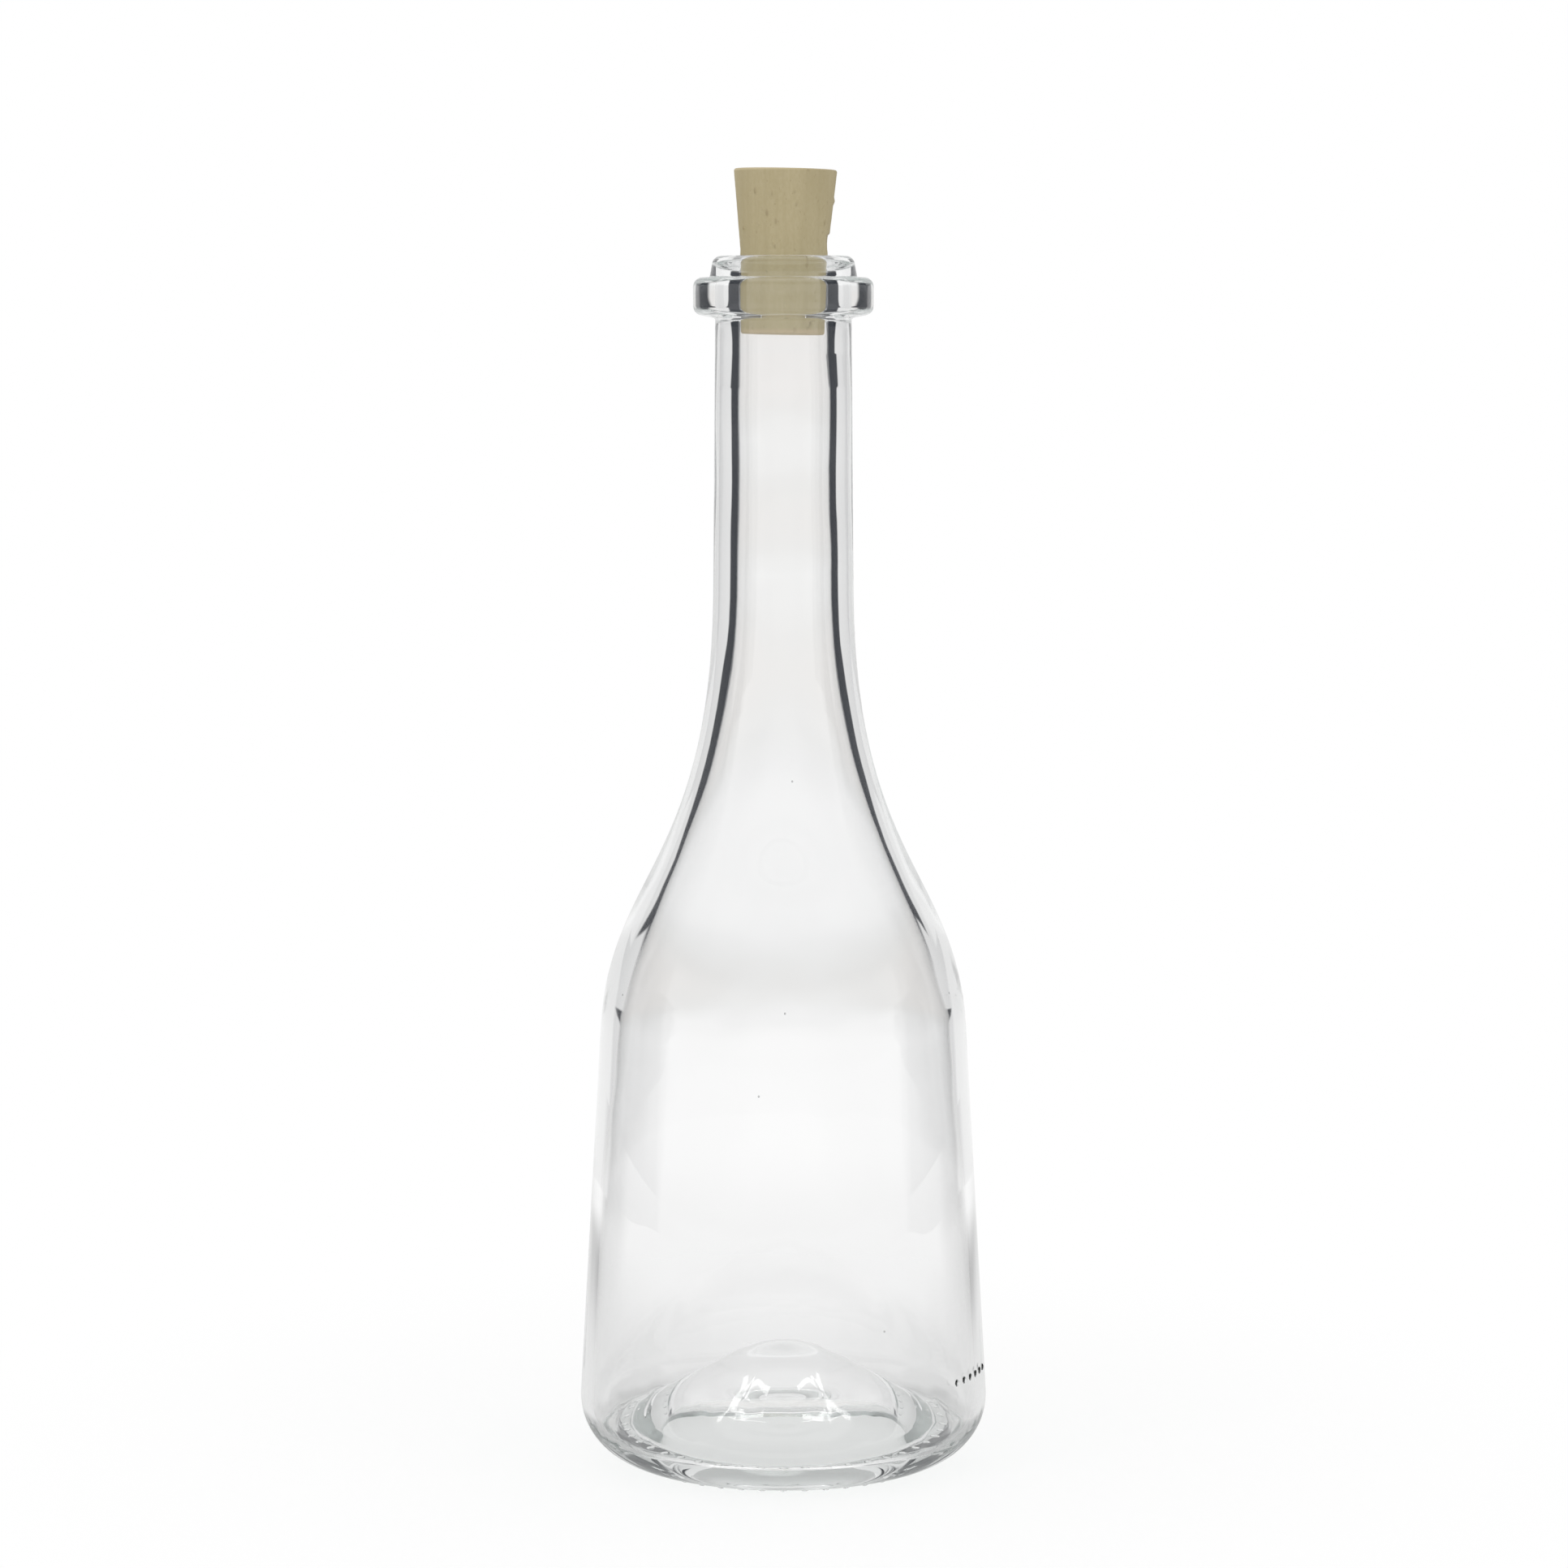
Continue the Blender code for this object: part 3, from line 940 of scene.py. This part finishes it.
# Each scar: angle, height, half its width, its reach up and down, and its depth.
scars = (
    (math.radians(-3), cork_bottom + 20.2 * mm, 3.0 * mm, 0.5 * mm, 3.4 * mm, 0.50 * mm),
    (math.radians(-63), cork_top, 0.35 * mm, 0.5 * mm, 0.7 * mm, 0.45 * mm),
    (math.radians(-46), cork_top, 1.60 * mm, 0.4 * mm, 0.4 * mm, 0.12 * mm),
    (math.radians(-54), cork_bottom + 2.3 * mm, 0.30 * mm, 0.9 * mm, 0.8 * mm, 0.40 * mm),
    (math.radians(-50), cork_bottom + 2.9 * mm, 0.50 * mm, 0.3 * mm, 0.3 * mm, 0.30 * mm),
    (math.radians(-57), cork_bottom + 1.3 * mm, 0.50 * mm, 0.4 * mm, 0.4 * mm, 0.25 * mm),
    (math.radians(148), cork_bottom + 24.0 * mm, 1.20 * mm, 0.6 * mm, 1.9 * mm, 0.40 * mm),
)
# How round a scar's floor is, and how deep a scar has to be for its painted shade to be full.
scar_power, dark_scar_depth = 0.7, 0.4 * mm
# The side is worn at random. The middle of each end stays as it is.
wear, wear_pace, still_radius = 0.03 * mm, 700, 6 * mm
print("cork:", round(cork_length, 4), "m long, from", round(cork_bottom, 4), "m up")


# %% Turn and dent the cork
def divided(points, step):
    """Return an outline with more points on it, no further apart than step."""
    dense = [points[0]]
    for start, end in zip(points, points[1:]):
        dense += line_between(start, end, max(1, math.ceil((end - start).length / step))) + [end]
    return dense


def scar_depth(point):
    """Return how deep the scars are at a point of the side, and the deepest one's share."""
    angle = math.atan2(point.y, point.x)
    radius = math.hypot(point.x, point.y)
    depth = share = 0
    for at, height, half_width, above, below, deepest in scars:
        across = ((angle - at + math.pi) % math.tau - math.pi) * radius / half_width
        along = (point.z - height) / (above if point.z > height else below)
        near = max(0, 1 - across**2 - along**2)
        depth += deepest * near**scar_power
        share = max(share, near * min(1, deepest / dark_scar_depth))
    return depth, share


def scarred(ring, point):
    """Return how far a vertex of the cork moves: inwards at a scar, and a little at random."""
    radial = Vector((point.x, point.y, 0))
    if radial.length < still_radius:
        return Vector((0, 0, 0))
    depth, share = scar_depth(point)
    worn = wear * (1 + noise.noise(point * wear_pace))
    return radial.normalized() * -(depth + worn)


squeezed_radius = bore_diameter / 2 - cork_clearance
# A known fault: this profile runs upwards, as the inside of the glass does, so the faces of
# the cork look inwards. Run downwards, without the [::-1], they would look outwards.
cork_profile = rounded([
    (0, cork_top, 0),
    (cork_top_diameter / 2, cork_top, cork_edge_round),
    (squeezed_radius, bottle_height + cork_squeeze_height, cork_edge_round),
    (squeezed_radius, bottle_height - cork_squeeze_height, cork_edge_round),
    (cork_bottom_diameter / 2, cork_bottom, cork_edge_round),
    (0, cork_bottom, 0),
])[::-1]
cork = turned("cork", divided(cork_profile, cork_step), cork_sides, scarred)
scar_share = cork.data.attributes.new("scar", "FLOAT", "POINT")
for vertex, value in zip(cork.data.vertices, scar_share.data):
    value.value = scar_depth(vertex.co)[1]
print("cork faces:", len(cork.data.polygons))

# %% [markdown]
# ## Pores in the cork
#
# Bark breathes through small pores, which the punch cuts open. They are scattered over the
# side at random with Geometry Nodes, and each moves the surface against its normal where it
# is near. On faces that look outwards this sinks a pore. The faces of this cork look
# inwards, as its profile says, so its pores are raised instead, by the same 0.3 mm at most.
# A pore is taller than it is wide, so the distance to it is measured with the height
# squeezed.

# %% Press the pores
pore_sizes = {
    "Seed": 4,
    "Pores per Area": 26000.0,
    "Squeeze": 0.45,
    "Pore Radius": 0.42 * mm,
    "Pore Depth": 0.30 * mm,
}
# The side is where the surface faces up or down by less than side_limit. Each pore draws a
# luck from 0 to 1, and is as wide as the radius times its luck and least_luck together.
side_limit, least_luck = 0.5, 0.3
pitting, given, result = new_tree("cork_pores", pore_sizes)
body = given.outputs["Geometry"]
normal = pitting.nodes.new("GeometryNodeInputNormal").outputs["Normal"]
upright = step_node(pitting, "ShaderNodeSeparateXYZ", Vector=normal).outputs["Z"]
on_side = calc(pitting, "LESS_THAN", calc(pitting, "ABSOLUTE", upright), side_limit)
scatter = step_node(
    pitting, "GeometryNodeDistributePointsOnFaces",
    Mesh=body, Selection=on_side,
    Density=given.outputs["Pores per Area"], Seed=given.outputs["Seed"],
)
squeeze = step_node(pitting, "ShaderNodeCombineXYZ", X=1.0, Y=1.0, Z=given.outputs["Squeeze"])
position = pitting.nodes.new("GeometryNodeInputPosition").outputs[0]
squeezed = step_node(pitting, "ShaderNodeVectorMath", {"operation": "MULTIPLY"})
pitting.links.new(position, squeezed.inputs[0])
pitting.links.new(squeeze.outputs[0], squeezed.inputs[1])
pores = step_node(
    pitting, "GeometryNodeSetPosition",
    Geometry=scatter.outputs["Points"], Position=squeezed.outputs[0],
)
nearest = step_node(
    pitting, "GeometryNodeProximity", {"target_element": "POINTS"},
    Geometry=pores.outputs[0], Sample_Position=squeezed.outputs[0],
)
which = step_node(
    pitting, "GeometryNodeSampleNearest", {"domain": "POINT"},
    Geometry=pores.outputs[0], Sample_Position=squeezed.outputs[0],
)
luck = step_node(
    pitting, "FunctionNodeRandomValue", {"data_type": "FLOAT"}, Seed=given.outputs["Seed"]
)
pore_size = step_node(
    pitting, "GeometryNodeSampleIndex", {"data_type": "FLOAT", "domain": "POINT"},
    Geometry=pores.outputs[0], Value=luck.outputs[1], Index=which.outputs[0],
)
growth = calc(pitting, "ADD", pore_size.outputs[0], least_luck)
width = calc(pitting, "MULTIPLY", given.outputs["Pore Radius"], growth)
away = calc(pitting, "DIVIDE", nearest.outputs["Distance"], width)
openness = calc(pitting, "SUBTRACT", 1.0, away, clamp=True)
depth = calc(pitting, "MULTIPLY", openness, given.outputs["Pore Depth"])
depth = calc(pitting, "MULTIPLY", depth, -1.0)
push = step_node(pitting, "ShaderNodeVectorMath", {"operation": "SCALE"}, Scale=depth)
pitting.links.new(normal, push.inputs[0])
dented = step_node(pitting, "GeometryNodeSetPosition", Geometry=body, Offset=push.outputs[0])
marked = step_node(
    pitting, "GeometryNodeStoreNamedAttribute", {"data_type": "FLOAT", "domain": "POINT"},
    Geometry=dented.outputs[0], Name="pore", Value=openness,
)
finish = step_node(
    pitting, "GeometryNodeSetMaterial",
    Geometry=marked.outputs[0], Material=given.outputs["Material"],
)
pitting.links.new(finish.outputs[0], result.inputs["Geometry"])
print("pore nodes:", len(pitting.nodes))

# %% [markdown]
# ## The colour of the cork
#
# Cut cork is pale and matt, with fine upright layers, a grain and a few dark specks. One
# flat colour would look like clay, and one noise like stone. Instead each of these is a coat
# of its own, a noise stretched in its own way. The pores and scars get painted shade from the
# attributes that the mesh carries, so the painted shade lies just where the pore is, and both
# ends get a paler rim.

# %% Colour the cork
bark_dark, bark_pale = (0.375, 0.315, 0.185), (0.425, 0.362, 0.222)
grain_colour, speck_colour = (0.36, 0.30, 0.16), (0.26, 0.20, 0.10)
# The colour of the painted shade in the pores and scars.
hollow_painted_shade_colour = (0.16, 0.11, 0.05)
top_colour, bottom_colour = (0.68, 0.58, 0.38), (0.55, 0.42, 0.29)
bark_turn = math.radians(20)
scar_shade = 0.5
# The pale rims: where each starts and ends.
near_top = (cork_top - 0.7 * mm, cork_top - 0.2 * mm)
near_bottom = (cork_bottom + 0.3 * mm, cork_bottom + 1.2 * mm)


def bark():
    """Return the cork in coats: layers, grain, specks, painted shade in hollows, and its two ends.
    """
    material = bpy.data.materials.new("cork")
    material.use_nodes = True
    tree = material.node_tree
    shader = tree.nodes["Principled BSDF"]
    place = tree.nodes.new("ShaderNodeTexCoord").outputs["Object"]

    def layered(scale, size, detail):
        """Return a noise that is stretched by scale along each axis."""
        stretch = step_node(
            tree, "ShaderNodeMapping", Vector=place, Rotation=(0, 0, bark_turn), Scale=scale
        )
        mottle = step_node(
            tree, "ShaderNodeTexNoise", Vector=stretch.outputs[0], Scale=size, Detail=detail
        )
        return mottle.outputs["Fac"]

    layers = layered((1.0, 0.16, 0.05), 420.0, 3.0)
    grain = layered((1.0, 1.0, 0.5), 1900.0, 3.0)
    specks = layered((1.0, 1.0, 0.6), 2100.0, 1.0)
    pore = step_node(tree, "ShaderNodeAttribute", {"attribute_name": "pore"}).outputs["Fac"]
    scar = step_node(tree, "ShaderNodeAttribute", {"attribute_name": "scar"}).outputs["Fac"]
    # Painted shade in the pores and the scars, from the marks that the mesh carries.
    hollow = calc(tree, "MAXIMUM", pore, calc(tree, "MULTIPLY", scar, scar_shade))
    height = step_node(tree, "ShaderNodeSeparateXYZ", Vector=place).outputs["Z"]
    coats = (
        (fade(tree, grain, 0.3, 0.7, 0.0, 0.35), grain_colour),
        (fade(tree, specks, 0.70, 0.76, 0.0, 0.4), speck_colour),
        (fade(tree, hollow, 0.1, 0.9, 0.0, 0.6), hollow_painted_shade_colour),
        (fade(tree, height, *near_top, 0.0, 0.5), top_colour),
        (fade(tree, height, *near_bottom, 0.45, 0.0), bottom_colour),
    )
    colour = blend_colours(tree, fade(tree, layers, 0.32, 0.68), bark_dark, bark_pale)
    for share, coat in coats:
        colour = blend_colours(tree, share, colour, coat)
    tree.links.new(colour, shader.inputs["Base Color"])
    shader.inputs["Roughness"].default_value = 0.85
    bump = step_node(tree, "ShaderNodeBump", Height=grain, Strength=0.35, Distance=0.1 * mm)
    tree.links.new(bump.outputs[0], shader.inputs["Normal"])
    return material


run_tree(cork, pitting, pore_sizes, bark())
cork.data.shade_smooth()
foot_of_lean = Vector((cork_shift, 0, cork_bottom))
drop = Vector((0, 0, -cork_top_diameter / 2 * math.sin(cork_lean)))
lean = Matrix.Translation(foot_of_lean + drop) @ Matrix.Rotation(cork_lean, 4, "Y")
cork.data.transform(lean @ Matrix.Translation((0, 0, -cork_bottom)))
print("cork triangles:", sum(len(p.vertices) - 2 for p in cork.data.polygons))

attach(cork, "stopper")
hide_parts("cork_stopper")
